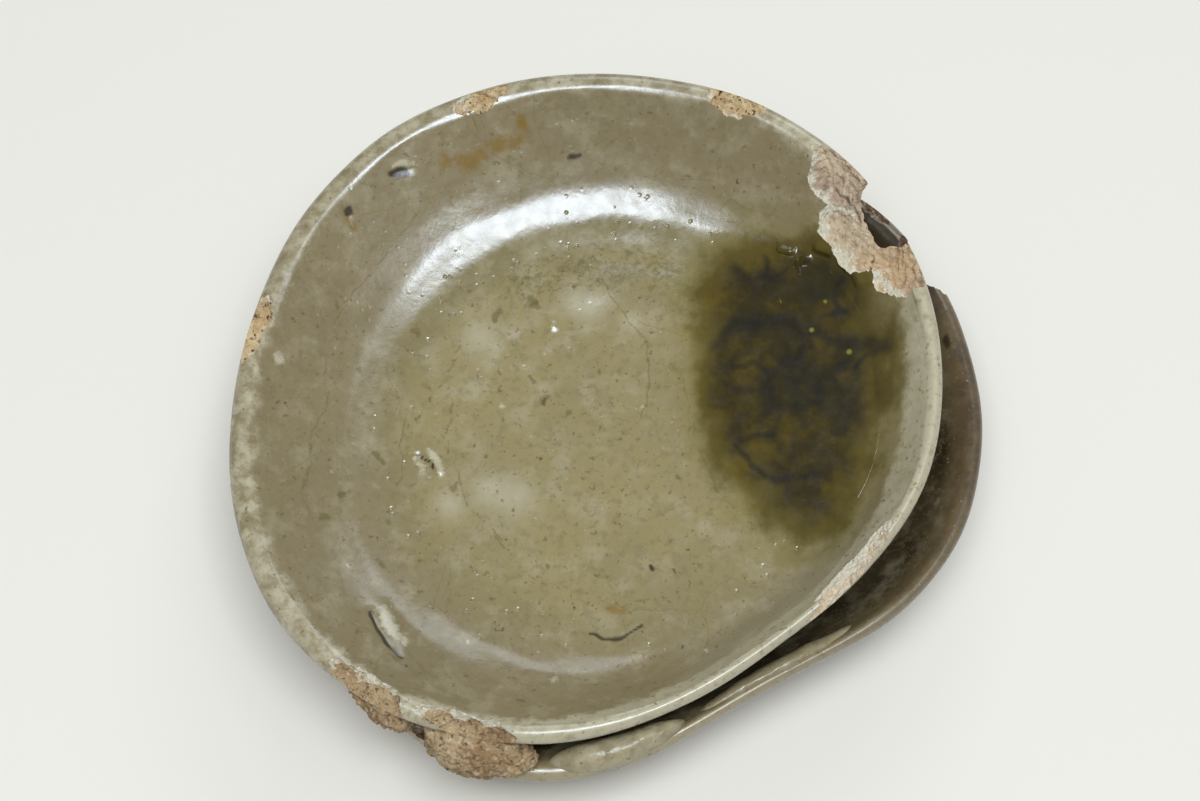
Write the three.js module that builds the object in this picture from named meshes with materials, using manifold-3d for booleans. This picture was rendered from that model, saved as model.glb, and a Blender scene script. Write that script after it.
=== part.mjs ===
// Two small ash-glazed dishes that slumped and stuck together in the kiln, one inside the other.
// Millimetres, +Z up. +X is the side where the lower dish shows, and the glaze ran that way.
// Each dish is thrown as a plain revolved profile, then warped as the heat warped it.
import * as THREE from "three";
import { mergeVertices } from "three/addons/utils/BufferGeometryUtils.js";
import Module from "manifold-3d";

const wasm = await Module();
wasm.setup();

// Fit of touching pieces
const CLEARANCE = 0.3;

// Thrown shape, the same for both dishes
const RIM_RADIUS = 52;
const RIM_HEIGHT = 20.8;
const LIP_THICKNESS = 3.2;
const WALL_THICKNESS = 4.6;
const WELL_RADIUS = 32;
const BEND_RADIUS = 38;
const WALL_START = { radius: 40.2, height: 10.7 };
const FLOOR_HEIGHT = 7;
const FLOOR_RISE = 1.6;
const FOOT_RADIUS = 26;
const FOOT_WIDTH = 4.6;
const FOOT_RECESS = 2.8;
const FOOT_BEVEL = 0.7;
const FOOT_TAPER = 0.5;

// The warp starts outside the foot and is fullest at the rim
const WARP_START = 27;
const WARP_POWER = 1.15;

// Each lobe is [waves round the rim, size, direction of the first crest in degrees]
const UPPER_WARP = {
  spread: [[0, 0.9, 0], [1, 8.9, 139], [2, 1.8, 38], [3, 1.0, -2], [4, 0.2, -42], [5, 0.4, -16]],
  lift: [[1, 1.4, 25], [2, 0.7, 80]],
};
const LOWER_WARP = {
  spread: [[0, 0.2, 0], [1, 2.2, 83], [2, 3.5, 37], [3, 1.8, 9], [4, 1.1, -24], [5, 0.6, -29]],
  lift: [[1, 2.8, -40], [2, 0.6, 100]],
};

// How the upper dish lies in the lower one
const UPPER_TILT = 3.4;
const TILT_TOWARD = 205;
const WAD_HEIGHT = 2.4;

// Clay wads between the foot of the upper dish and the floor of the lower one
const WAD_COUNT = 3;
const WAD_RADIUS = 4.2;
const WAD_FIRST_DIRECTION = 74;
const WAD_BLANK_HEIGHT = 11;
const WAD_ROUGHNESS = 0.05;

// Glaze that ran to one side and set in a pool, from one distance from the axis to another
const POOL_DIRECTION = 20;
const UPPER_POOL = { near: 10, far: BEND_RADIUS + 1.5 };
const LOWER_POOL = { near: 14, far: BEND_RADIUS - 1 };

// The floor is hollowed under the pool
const HOLLOW_DEPTH = 1.1;
const HOLLOW_DISTANCE = 26;
const HOLLOW_SPREAD = 11;

// Broken places on a rim. Each is a scoop that leans with the wall: direction in degrees, distance
// inwards from the rim, height above it, then length along the rim, width up the wall and depth.
const CHIP_LEAN = 46;
const CHIP_ROUGHNESS = 0.11;
const CHIP_SEED = 1.3;
const UPPER_CHIPS = [
  { at: 112, inward: 1.8, rise: -0.8, length: 9, width: 7, depth: 2.8 },
  { at: 70, inward: 0.6, rise: 0.2, length: 11, width: 9, depth: 4.2 },
  { at: 48, inward: 3.0, rise: -1.6, length: 12, width: 10.5, depth: 4.6 },
  { at: 39, inward: 5.0, rise: -3.5, length: 16, width: 12.5, depth: 3.8 },
  { at: 38, inward: 0.6, rise: -0.4, length: 13, width: 13, depth: 14 },
  { at: 29, inward: 3.0, rise: -1.4, length: 11, width: 12, depth: 4.2 },
  { at: 163, inward: 0.6, rise: 0.2, length: 14, width: 7, depth: 3.6 },
  { at: 229, inward: 0.6, rise: 0.2, length: 15, width: 8, depth: 5.6 },
  { at: 246, inward: 0.6, rise: 0.2, length: 19, width: 8, depth: 5.8 },
  { at: 324, inward: 2.2, rise: -1.0, length: 21, width: 7, depth: 2.6 },
];
const LOWER_CHIPS = [
  { at: 33, inward: 0.2, rise: 0, length: 13, width: 9, depth: 9 },
  { at: 45, inward: 0.2, rise: 0.4, length: 10, width: 5, depth: 4 },
  { at: 243, inward: 0.4, rise: 0.2, length: 24, width: 6, depth: 3.4 },
];

// Lumps of sintered grit and clay, and tears of glaze, that weld the rims. Each is bent along the
// lower rim: direction, distance inwards from it, height above it, then its sizes.
const GRIT_ROUGHNESS = 0.1;
const GRIT_SEED = 2.1;
const GRIT_WELDS = [
  { name: "grit_weld_left", at: 227, inward: 1.1, rise: 1.4, width: 5.6, length: 15, height: 8 },
  { name: "grit_weld_front", at: 246, inward: 2.4, rise: 0.9, width: 6.6, length: 18, height: 8.4 },
];
const TEAR_ROUGHNESS = 0.06;
const TEAR_SEED = 7.1;
const GLAZE_WELDS = [
  { name: "glaze_weld_front", at: 269, inward: 3.1, rise: -1.6, width: 5, length: 22, height: 6.4 },
  { name: "glaze_weld_middle", at: 301, inward: 3.5, rise: -3.4, width: 4.8, length: 34, height: 6 },
];

// Fineness of the surfaces
const ROUND_STEPS = 72;
const WALL_STEPS = 7;
const FLOOR_STEPS = 4;
const LIP_STEPS = 4;
const CHIP_DETAIL = 3;
const WAD_DETAIL = 3;
const WELD_DETAIL = 4;

// Waves on a rough lump: [size, waves along one axis, waves along another]
const COARSE_WAVES = [1, 4.1, 3.7];
const FINE_WAVES = [0.6, 8.3, 7.1];

const radians = THREE.MathUtils.degToRad;

// Sum of the lobes at one direction
function lobeSum(lobes, angle) {
  const heights = lobes.map(([waves, size, crest]) => size * Math.cos(waves * (angle - radians(crest))));
  return heights.reduce((sum, height) => sum + height, 0);
}

// Moves one thrown point as the kiln moved it
function warped(radius, angle, height, warp) {
  const share = Math.max(0, (radius - WARP_START) / (RIM_RADIUS - WARP_START));
  const weight = Math.pow(share, WARP_POWER);
  const moved = radius + weight * lobeSum(warp.spread, angle);
  const z = height + weight * lobeSum(warp.lift, angle);
  return new THREE.Vector3(moved * Math.cos(angle), moved * Math.sin(angle), z);
}

// Height of the thrown floor, which is slightly dished
const floorHeight = (radius) => FLOOR_HEIGHT + FLOOR_RISE * (radius / WELL_RADIUS) ** 2;

// Inside line of the wall, from the edge of the well, round a tight bend and up to the lip
const wellSlope = (2 * FLOOR_RISE) / WELL_RADIUS;
const wallLine = new THREE.CubicBezierCurve(
  new THREE.Vector2(WELL_RADIUS, floorHeight(WELL_RADIUS)),
  new THREE.Vector2(BEND_RADIUS, floorHeight(WELL_RADIUS) + wellSlope * (BEND_RADIUS - WELL_RADIUS)),
  new THREE.Vector2(WALL_START.radius, WALL_START.height),
  new THREE.Vector2(RIM_RADIUS - LIP_THICKNESS, RIM_HEIGHT - LIP_THICKNESS / 2),
);

function wallPoint(share, offset) {
  const point = wallLine.getPoint(share);
  const along = wallLine.getTangent(share);
  return new THREE.Vector2(point.x + along.y * offset, point.y - along.x * offset);
}

// Inside half of the profile, from the axis to the lip. grow thickens the dish by that much.
function insideProfile(grow) {
  const floor = Array.from({ length: FLOOR_STEPS }, (_, i) => {
    const radius = (WELL_RADIUS * i) / FLOOR_STEPS;
    return new THREE.Vector2(radius, floorHeight(radius) + grow);
  });
  const wall = Array.from({ length: WALL_STEPS + 1 }, (_, i) => wallPoint(i / WALL_STEPS, -grow));
  return [...floor, ...wall];
}

// Outside half of the profile, from the lip to the axis
function outsideProfile(grow) {
  const lipEnd = wallPoint(1, LIP_THICKNESS / 2);
  const along = wallLine.getTangent(1);
  const lipRadius = LIP_THICKNESS / 2 + grow;
  const lip = Array.from({ length: LIP_STEPS - 1 }, (_, i) => {
    const turn = (Math.PI * (i + 1)) / LIP_STEPS;
    const out = -Math.cos(turn) * lipRadius;
    const up = Math.sin(turn) * lipRadius;
    const x = lipEnd.x + along.y * out + along.x * up;
    return new THREE.Vector2(x, lipEnd.y - along.x * out + along.y * up);
  });
  const wall = Array.from({ length: WALL_STEPS + 1 }, (_, i) => {
    const share = 1 - i / WALL_STEPS;
    const thickness = THREE.MathUtils.lerp(WALL_THICKNESS, LIP_THICKNESS, share);
    return wallPoint(share, thickness + grow);
  }).filter((point) => point.x > FOOT_RADIUS + grow + FOOT_BEVEL);
  const footInside = FOOT_RADIUS - FOOT_WIDTH;
  const footTop = wall[wall.length - 1].y;
  return [
    ...lip,
    ...wall,
    new THREE.Vector2(FOOT_RADIUS + grow, footTop - FOOT_BEVEL),
    new THREE.Vector2(FOOT_RADIUS - FOOT_TAPER + grow, FOOT_BEVEL - grow),
    new THREE.Vector2(FOOT_RADIUS - FOOT_TAPER - FOOT_BEVEL + grow, -grow),
    new THREE.Vector2(footInside + FOOT_BEVEL - grow, -grow),
    new THREE.Vector2(footInside - grow, FOOT_BEVEL - grow),
    new THREE.Vector2(footInside - FOOT_BEVEL - grow, FOOT_RECESS - grow),
    new THREE.Vector2(0, FOOT_RECESS - grow),
  ];
}

// Where the thin floor is hollowed under the pool
function hollowAt(x, y) {
  const turn = radians(POOL_DIRECTION);
  const away = Math.hypot(x - HOLLOW_DISTANCE * Math.cos(turn), y - HOLLOW_DISTANCE * Math.sin(turn));
  return HOLLOW_DEPTH * Math.exp(-((away / HOLLOW_SPREAD) ** 2));
}

// Turns a profile round the axis and warps it. isInside tells which rows are the inside surface.
function turned(profile, isInside, warp) {
  const rows = profile.map((point, row) => Array.from({ length: ROUND_STEPS }, (_, step) => {
    const spot = warped(point.x, (2 * Math.PI * step) / ROUND_STEPS, point.y, warp);
    if (isInside(row)) {
      spot.z -= hollowAt(spot.x, spot.y);
    }
    return spot;
  }));
  const corners = [];
  for (let row = 0; row + 1 < rows.length; row += 1) {
    for (let step = 0; step < ROUND_STEPS; step += 1) {
      const next = (step + 1) % ROUND_STEPS;
      const [a, b, c, d] = [rows[row][step], rows[row][next], rows[row + 1][next], rows[row + 1][step]];
      if (profile[row].x > 0) {
        corners.push(a, c, b);
      }
      if (profile[row + 1].x > 0) {
        corners.push(a, d, c);
      }
    }
  }
  return new THREE.BufferGeometry().setFromPoints(corners);
}

// Geometry to solid and back
function solidOf(geometry) {
  const bare = new THREE.BufferGeometry().setAttribute("position", geometry.getAttribute("position"));
  if (geometry.index) {
    bare.setIndex(geometry.index);
  }
  const merged = mergeVertices(bare, 1e-4);
  return new wasm.Manifold(new wasm.Mesh({
    numProp: 3,
    vertProperties: new Float32Array(merged.attributes.position.array),
    triVerts: new Uint32Array(merged.index.array),
  }));
}

function geometryOf(solid) {
  const mesh = solid.getMesh();
  const geometry = new THREE.BufferGeometry();
  geometry.setAttribute("position", new THREE.BufferAttribute(mesh.vertProperties, mesh.numProp));
  geometry.setIndex(new THREE.BufferAttribute(mesh.triVerts, 1));
  const faceted = geometry.toNonIndexed();
  faceted.computeVertexNormals();
  return faceted;
}

// The largest body of a solid, so that crumbs left by a cut don't stay
function largest(solid) {
  return solid.decompose().sort((a, b) => b.volume() - a.volume())[0];
}

// A rough rounded lump of the given sizes, the same for the same seed
function roughBlob(width, length, height, roughness, seed, detail) {
  const blob = new THREE.IcosahedronGeometry(1, detail);
  const place = blob.getAttribute("position");
  const point = new THREE.Vector3();
  const [coarse, fine] = [COARSE_WAVES, FINE_WAVES];
  for (let i = 0; i < place.count; i += 1) {
    point.fromBufferAttribute(place, i);
    const slow = Math.sin(coarse[1] * point.x + seed) * Math.sin(coarse[2] * point.y + 2 * seed);
    const quick = Math.sin(fine[1] * point.z + 2 * seed) * Math.sin(fine[2] * point.x - seed);
    point.multiplyScalar(1 + roughness * (coarse[0] * slow + fine[0] * quick));
    place.setXYZ(i, (point.x * width) / 2, (point.y * length) / 2, (point.z * height) / 2);
  }
  return blob;
}

// A point of a dish's rim, and the matrix that carries a lump there: its X runs outwards, its Y along the rim
function rimPlace(warp, degrees, inward, rise) {
  const angle = radians(degrees);
  const spot = warped(RIM_RADIUS - inward, angle, RIM_HEIGHT + rise, warp);
  return new THREE.Matrix4().makeRotationZ(angle).setPosition(spot);
}

// Cuts the chips out of a dish
function withChips(dish, warp, chips) {
  return chips.reduce((body, chip, i) => {
    const seed = i + CHIP_SEED;
    const scoop = roughBlob(chip.width, chip.length, chip.depth, CHIP_ROUGHNESS, seed, CHIP_DETAIL);
    scoop.rotateY(-radians(CHIP_LEAN));
    scoop.applyMatrix4(rimPlace(warp, chip.at, chip.inward, chip.rise));
    return largest(body.subtract(solidOf(scoop)));
  }, dish);
}

function dishSolid(warp, chips, grow) {
  const inside = insideProfile(grow);
  const body = solidOf(turned([...inside, ...outsideProfile(grow)], (row) => row < inside.length, warp));
  return withChips(body, warp, chips);
}

// A dish without chips, thicker by the clearance: what lies against the dish is cut by it
const cutterDish = (warp) => dishSolid(warp, [], CLEARANCE);

// The room inside a dish up to its lip, clear of the dish itself
function cavitySolid(warp) {
  const inside = insideProfile(CLEARANCE).reverse();
  const mouth = new THREE.Vector2(0, inside[0].y);
  return solidOf(turned([mouth, ...inside], (row) => row > 0, warp));
}

// Height of a dish's inside surface over a point of the plan
function insideHeight(warp, x, y) {
  const angle = Math.atan2(y, x);
  const inside = insideProfile(0).map((point) => {
    const spot = warped(point.x, angle, point.y, warp);
    return new THREE.Vector2(Math.hypot(spot.x, spot.y), spot.z - hollowAt(spot.x, spot.y));
  });
  const reach = Math.hypot(x, y);
  const next = inside.findIndex((point) => point.x >= reach);
  if (next < 0) {
    return -Infinity;
  }
  if (next === 0) {
    return inside[0].y;
  }
  const [a, b] = [inside[next - 1], inside[next]];
  return THREE.MathUtils.lerp(a.y, b.y, (reach - a.x) / (b.x - a.x));
}

// The upper dish leans over, pivoting at the middle of its foot
const tiltAxis = new THREE.Vector3(-Math.sin(radians(TILT_TOWARD)), Math.cos(radians(TILT_TOWARD)), 0);
const leaning = new THREE.Matrix4().makeRotationAxis(tiltAxis, radians(UPPER_TILT));

// How high the upper dish stands: on its wads, or higher where the dishes would touch first
function seatHeight() {
  const outside = outsideProfile(0);
  let height = floorHeight(FOOT_RADIUS) + WAD_HEIGHT;
  for (let step = 0; step < ROUND_STEPS; step += 1) {
    const angle = (2 * Math.PI * step) / ROUND_STEPS;
    outside.forEach((point) => {
      const spot = warped(point.x, angle, point.y, UPPER_WARP).applyMatrix4(leaning);
      height = Math.max(height, insideHeight(LOWER_WARP, spot.x, spot.y) + 2 * CLEARANCE - spot.z);
    });
  }
  return height;
}

const UPPER_SEAT = seatHeight();
const upperPlace = new THREE.Matrix4().makeTranslation(0, 0, UPPER_SEAT).multiply(leaning);

const placed = (solid, matrix) => solidOf(geometryOf(solid).applyMatrix4(matrix));

const grownLower = cutterDish(LOWER_WARP);
const grownUpper = placed(cutterDish(UPPER_WARP), upperPlace);

// The sloping level under which glaze stands, through two places on the inside of a dish.
// It is a large slab that reaches down from the level.
function belowLevel(warp, pool) {
  const turn = radians(POOL_DIRECTION);
  const [low, high] = [pool.near, pool.far].map(
    (reach) => insideHeight(warp, reach * Math.cos(turn), reach * Math.sin(turn)),
  );
  const slope = (high - low) / (pool.far - pool.near);
  const slab = new THREE.BoxGeometry(4 * RIM_RADIUS, 4 * RIM_RADIUS, RIM_HEIGHT);
  slab.translate(0, 0, -RIM_HEIGHT / 2);
  slab.rotateY(-Math.atan(slope));
  slab.rotateZ(turn);
  slab.translate(0, 0, low - slope * pool.near);
  return solidOf(slab);
}

function glazePool(warp, pool) {
  return largest(cavitySolid(warp).intersect(belowLevel(warp, pool)));
}

// A clay wad, squeezed between the two dishes and cut to them
function wadSolid(index) {
  const angle = radians(WAD_FIRST_DIRECTION + (360 * index) / WAD_COUNT);
  const reach = FOOT_RADIUS - FOOT_WIDTH / 2;
  const wad = roughBlob(2 * WAD_RADIUS, 2 * WAD_RADIUS, WAD_BLANK_HEIGHT, WAD_ROUGHNESS, index, WAD_DETAIL);
  wad.translate(reach * Math.cos(angle), reach * Math.sin(angle), UPPER_SEAT - WAD_HEIGHT / 2);
  return largest(solidOf(wad).subtract(grownLower).subtract(grownUpper));
}

// A weld between the outside of the upper dish and the lip of the lower one, bent along that lip
function weldSolid(weld, roughness, seed) {
  const lump = roughBlob(weld.width, weld.length, weld.height, roughness, seed, WELD_DETAIL);
  const place = lump.getAttribute("position");
  for (let i = 0; i < place.count; i += 1) {
    const radius = RIM_RADIUS - weld.inward + place.getX(i);
    const angle = radians(weld.at) + place.getY(i) / RIM_RADIUS;
    const height = RIM_HEIGHT + weld.rise + place.getZ(i);
    place.setXYZ(i, ...warped(radius, angle, height, LOWER_WARP).toArray());
  }
  return largest(solidOf(lump).subtract(grownLower).subtract(grownUpper));
}

// Finishes
const glazed = { roughness: 0.22, metalness: 0 };
const finish = {
  glaze: new THREE.MeshStandardMaterial({ color: 0x9c9573, ...glazed }),
  pool: new THREE.MeshStandardMaterial({ color: 0x4a4416, ...glazed }),
  weld: new THREE.MeshStandardMaterial({ color: 0x8a835f, ...glazed }),
  grit: new THREE.MeshStandardMaterial({ color: 0xa79077, roughness: 0.85, metalness: 0 }),
  clay: new THREE.MeshStandardMaterial({ color: 0xc9ad88, roughness: 0.9, metalness: 0 }),
};

const stack = new THREE.Group();

function addPiece(name, solid, material) {
  const mesh = new THREE.Mesh(geometryOf(solid), material);
  mesh.name = name;
  stack.add(mesh);
}

addPiece("lower_dish", dishSolid(LOWER_WARP, LOWER_CHIPS, 0), finish.glaze);
addPiece("upper_dish", placed(dishSolid(UPPER_WARP, UPPER_CHIPS, 0), upperPlace), finish.glaze);
addPiece("upper_glaze_pool", placed(glazePool(UPPER_WARP, UPPER_POOL), upperPlace), finish.pool);
addPiece("lower_glaze_pool", largest(glazePool(LOWER_WARP, LOWER_POOL).subtract(grownUpper)), finish.pool);
for (let index = 0; index < WAD_COUNT; index += 1) {
  addPiece(`clay_wad_${index + 1}`, wadSolid(index), finish.clay);
}
GRIT_WELDS.forEach((weld, index) => {
  addPiece(weld.name, weldSolid(weld, GRIT_ROUGHNESS, index + GRIT_SEED), finish.grit);
});
GLAZE_WELDS.forEach((weld, index) => {
  addPiece(weld.name, weldSolid(weld, TEAR_ROUGHNESS, index + TEAR_SEED), finish.weld);
});

// The frame's origin lies on the table, under the middle of the stack
const box = new THREE.Box3().setFromObject(stack);
const middle = box.getCenter(new THREE.Vector3());
stack.children.forEach((piece) => piece.position.set(-middle.x, -middle.y, -box.min.z));

export default stack;
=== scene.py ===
"""Two small ash-glazed dishes that slumped and stuck together in the kiln, seen from above.

Sizes below are in millimetres, in the plan of each dish with its foot at the middle, and become
metres where a mesh is made. +X is the picture's right, +Y is away from the viewer, +Z is up.
"""

import math

import bmesh
import bpy
import numpy as np
from mathutils import Matrix, Vector, noise


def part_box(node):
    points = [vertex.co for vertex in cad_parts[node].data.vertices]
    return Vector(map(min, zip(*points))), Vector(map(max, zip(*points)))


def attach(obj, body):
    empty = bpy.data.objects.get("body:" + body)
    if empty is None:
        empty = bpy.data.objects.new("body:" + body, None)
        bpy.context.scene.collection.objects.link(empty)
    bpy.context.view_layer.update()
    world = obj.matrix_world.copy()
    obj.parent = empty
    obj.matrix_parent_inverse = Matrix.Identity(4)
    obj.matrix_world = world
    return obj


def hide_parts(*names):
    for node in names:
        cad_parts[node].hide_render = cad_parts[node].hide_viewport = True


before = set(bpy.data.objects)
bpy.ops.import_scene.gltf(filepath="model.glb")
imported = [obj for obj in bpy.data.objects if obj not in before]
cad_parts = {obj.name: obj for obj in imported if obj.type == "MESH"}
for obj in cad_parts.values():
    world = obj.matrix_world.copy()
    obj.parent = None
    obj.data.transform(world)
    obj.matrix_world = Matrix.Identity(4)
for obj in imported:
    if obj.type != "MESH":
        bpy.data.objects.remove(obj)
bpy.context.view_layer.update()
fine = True
LUMP_DETAIL = 6 if fine else 4
MM = 0.001

# Thrown shape, the same for both dishes
RIM_RADIUS = 52.0
RIM_HEIGHT = 20.8
LIP_THICKNESS = 3.2
WALL_THICKNESS = 4.6
WELL_RADIUS = 32.0
BEND_RADIUS = 38.0
WALL_START = (40.2, 10.7)
FLOOR_HEIGHT = 7.0
FLOOR_RISE = 1.6
FOOT_RADIUS = 26.0
FOOT_WIDTH = 4.6
FOOT_RECESS = 2.8
FOOT_TAPER = 0.5
FOOT_BEVEL = 0.7

# Kiln warp: lobes of [waves round the rim, size, direction of the first crest in degrees]
WARP_START = 27.0
WARP_POWER = 1.15
UPPER_WARP = {
    "spread": [(0, 0.9, 0), (1, 8.9, 139), (2, 1.8, 38), (3, 1.0, -2), (4, 0.2, -42), (5, 0.4, -16)],
    "lift": [(1, 1.4, 25), (2, 0.7, 80)],
}
LOWER_WARP = {
    "spread": [(0, 0.2, 0), (1, 2.2, 83), (2, 3.5, 37), (3, 1.8, 9), (4, 1.1, -24), (5, 0.6, -29)],
    "lift": [(1, 2.8, -40), (2, 0.6, 100)],
}
UPPER_TILT = 3.4
TILT_TOWARD = 205.0

# Glaze pool: where its level meets the floor near the axis and the wall far from it
POOL_DIRECTION = 20.0
UPPER_POOL = (10.0, BEND_RADIUS + 1.5)
LOWER_POOL = (14.0, BEND_RADIUS - 1.0)
HOLLOW_DEPTH = 1.1
HOLLOW_DISTANCE = 26.0
HOLLOW_SPREAD = 11.0


# Shape of a dish

def lobe_sum(lobes, angle):
    return sum(size * np.cos(waves * (angle - math.radians(crest))) for waves, size, crest in lobes)


def warp_points(radius, angle, height, warp):
    """Moves thrown points as the kiln moved them; returns x, y, z."""
    weight = np.clip((radius - WARP_START) / (RIM_RADIUS - WARP_START), 0, None) ** WARP_POWER
    moved = radius + weight * lobe_sum(warp["spread"], angle)
    return moved * np.cos(angle), moved * np.sin(angle), height + weight * lobe_sum(warp["lift"], angle)


def floor_height(radius):
    return FLOOR_HEIGHT + FLOOR_RISE * (radius / WELL_RADIUS) ** 2


WALL_ENDS = np.array([
    [WELL_RADIUS, floor_height(WELL_RADIUS)],
    [BEND_RADIUS, floor_height(WELL_RADIUS) + 2 * FLOOR_RISE * (BEND_RADIUS - WELL_RADIUS) / WELL_RADIUS],
    WALL_START,
    [RIM_RADIUS - LIP_THICKNESS, RIM_HEIGHT - LIP_THICKNESS / 2],
])


def wall_point(share, offset):
    """Point of the wall's inside line, moved outwards by offset."""
    a, b, c, d = WALL_ENDS
    rest = 1 - share
    point = rest ** 3 * a + 3 * rest ** 2 * share * b + 3 * rest * share ** 2 * c + share ** 3 * d
    along = rest ** 2 * (b - a) + 2 * rest * share * (c - b) + share ** 2 * (d - c)
    along /= np.linalg.norm(along)
    return np.array([point[0] + along[1] * offset, point[1] - along[0] * offset])


def inside_profile(floor_rows, wall_rows):
    floor = [(r, floor_height(r)) for r in np.linspace(0, WELL_RADIUS, floor_rows, endpoint=False)]
    wall = [wall_point(t, 0) for t in np.linspace(0, 1, wall_rows)]
    return np.array([*floor, *wall])


def outside_profile(lip_rows, wall_rows):
    lip_end = wall_point(1, LIP_THICKNESS / 2)
    along = (wall_point(1, 0) - wall_point(0.999, 0))
    along /= np.linalg.norm(along)
    points = []
    for turn in np.linspace(0, math.pi, lip_rows + 2)[1:-1]:
        out = -math.cos(turn) * LIP_THICKNESS / 2
        up = math.sin(turn) * LIP_THICKNESS / 2
        x = lip_end[0] + along[1] * out + along[0] * up
        points.append((x, lip_end[1] - along[0] * out + along[1] * up))
    for share in np.linspace(1, 0, wall_rows):
        point = wall_point(share, WALL_THICKNESS + (LIP_THICKNESS - WALL_THICKNESS) * share)
        if point[0] > FOOT_RADIUS + FOOT_BEVEL:
            points.append(tuple(point))
    foot_top = points[-1][1]
    inner = FOOT_RADIUS - FOOT_WIDTH
    foot = [
        (FOOT_RADIUS + 0.25, foot_top - 0.25),
        (FOOT_RADIUS, foot_top - FOOT_BEVEL),
        (FOOT_RADIUS - FOOT_TAPER / 2, (foot_top + FOOT_BEVEL) / 2),
        (FOOT_RADIUS - FOOT_TAPER, FOOT_BEVEL),
        (FOOT_RADIUS - FOOT_TAPER - 0.2, 0.2),
        (FOOT_RADIUS - FOOT_TAPER - FOOT_BEVEL, 0.0),
        (inner + FOOT_BEVEL, 0.0),
        (inner + 0.2, 0.2),
        (inner, FOOT_BEVEL),
        (inner - FOOT_BEVEL * 0.7, FOOT_RECESS - 0.4),
        (inner - FOOT_BEVEL, FOOT_RECESS),
    ]
    recess = [(r, FOOT_RECESS) for r in np.linspace(inner - 1.6, 0, 18)]
    return np.array([*points, *foot, *recess])


def hollow_at(x, y):
    turn = math.radians(POOL_DIRECTION)
    away = np.hypot(x - HOLLOW_DISTANCE * math.cos(turn), y - HOLLOW_DISTANCE * math.sin(turn))
    return HOLLOW_DEPTH * np.exp(-((away / HOLLOW_SPREAD) ** 2))


def inside_height(warp, x, y):
    """Height of a dish's thrown inside surface over points of its plan, before any relief."""
    profile = inside_profile(40, 60)
    x, y = np.asarray(x, float), np.asarray(y, float)
    angle, reach = np.arctan2(y, x), np.hypot(x, y)
    weight = np.clip((profile[:, 0] - WARP_START) / (RIM_RADIUS - WARP_START), 0, None) ** WARP_POWER
    radii = profile[:, 0] + weight * np.asarray(lobe_sum(warp["spread"], angle))[..., None]
    heights = profile[:, 1] + weight * np.asarray(lobe_sum(warp["lift"], angle))[..., None]
    after = np.clip((radii < reach[..., None]).sum(-1), 1, len(profile) - 1)
    before = after - 1
    r0, r1, z0, z1 = (
        np.take_along_axis(table, at[..., None], -1)[..., 0]
        for table in (radii, heights) for at in (before, after)
    )
    return z0 + (z1 - z0) * (reach - r0) / (r1 - r0) - hollow_at(x, y)


# Places: the lower foot's middle is found on the frame, the upper dish stands above it
lower_points = np.array([v.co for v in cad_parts["lower_dish"].data.vertices]) / MM
on_the_ground = lower_points[:, 2] < 0.05
foot_points = lower_points[on_the_ground]
FOOT_MIDDLE = (foot_points.min(0) + foot_points.max(0)) / 2
FOOT_EDGE = FOOT_RADIUS - FOOT_TAPER - FOOT_BEVEL
UPPER_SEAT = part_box("upper_dish")[0][2] / MM + FOOT_EDGE * math.sin(math.radians(UPPER_TILT))

tilt_axis = Vector((-math.sin(math.radians(TILT_TOWARD)), math.cos(math.radians(TILT_TOWARD)), 0))
LOWER_PLACE = Matrix.Translation((FOOT_MIDDLE[0], FOOT_MIDDLE[1], 0))
UPPER_PLACE = (
    Matrix.Translation((FOOT_MIDDLE[0], FOOT_MIDDLE[1], UPPER_SEAT))
    @ Matrix.Rotation(math.radians(UPPER_TILT), 4, tilt_axis)
)


# Level of the glaze pools

def pool_level(warp, pool):
    """Height of the pool's level over the plan, as a function of x and y."""
    turn = math.radians(POOL_DIRECTION)
    low, high = (inside_height(warp, reach * math.cos(turn), reach * math.sin(turn)) for reach in pool)
    slope = (high - low) / (pool[1] - pool[0])
    return lambda x, y: low + slope * (x * math.cos(turn) + y * math.sin(turn) - pool[0])


upper_level = pool_level(UPPER_WARP, UPPER_POOL)
lower_level = pool_level(LOWER_WARP, LOWER_POOL)
# How softly a pool's level meets the floor, and how far its edge tucks in under the floor's surface
MENISCUS = 0.22
TUCK = 0.03
# How far a pool's underside lies below the floor's surface
POOL_SINK = 0.25

# Where the glaze turns dark: round the pool and up the wall behind it, in the dish's plan
DARK_EDGE = [
    (8.9, 12.4), (9.4, 7.5), (11.4, -0.6), (14.9, -7.2), (19.8, -13.4), (26.2, -17.2), (33.6, -15.6),
    (38.6, -8), (40.8, 4.1), (41.9, 15.2), (40, 24.2), (34.4, 31.4), (22, 34.8), (14, 34), (10.4, 26),
]


# Marks in a dish's plan: each is a line of places, or one place for a spot

def near_line(x, y, points):
    """Distance from each place to a line of points."""
    points = np.atleast_2d(np.array(points, float))
    if len(points) == 1:
        return np.hypot(x - points[0, 0], y - points[0, 1])
    best = np.full(np.shape(x), 1e9)
    for a, b in zip(points[:-1], points[1:]):
        run = b - a
        share = np.clip(((x - a[0]) * run[0] + (y - a[1]) * run[1]) / (run @ run), 0, 1)
        best = np.minimum(best, np.hypot(x - a[0] - share * run[0], y - a[1] - share * run[1]))
    return best


def stroke(x, y, points, width):
    """1 on a line of points, falling off to both sides."""
    return np.exp(-((near_line(x, y, points) / width) ** 2))


def within(x, y, edge):
    """Whether each place lies inside a closed line of points."""
    inside = np.zeros(np.shape(x), bool)
    for (ax, ay), (bx, by) in zip(edge, [*edge[1:], edge[0]]):
        inside ^= ((ay > y) != (by > y)) & (x < (bx - ax) * (y - ay) / (by - ay) + ax)
    return inside


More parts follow.
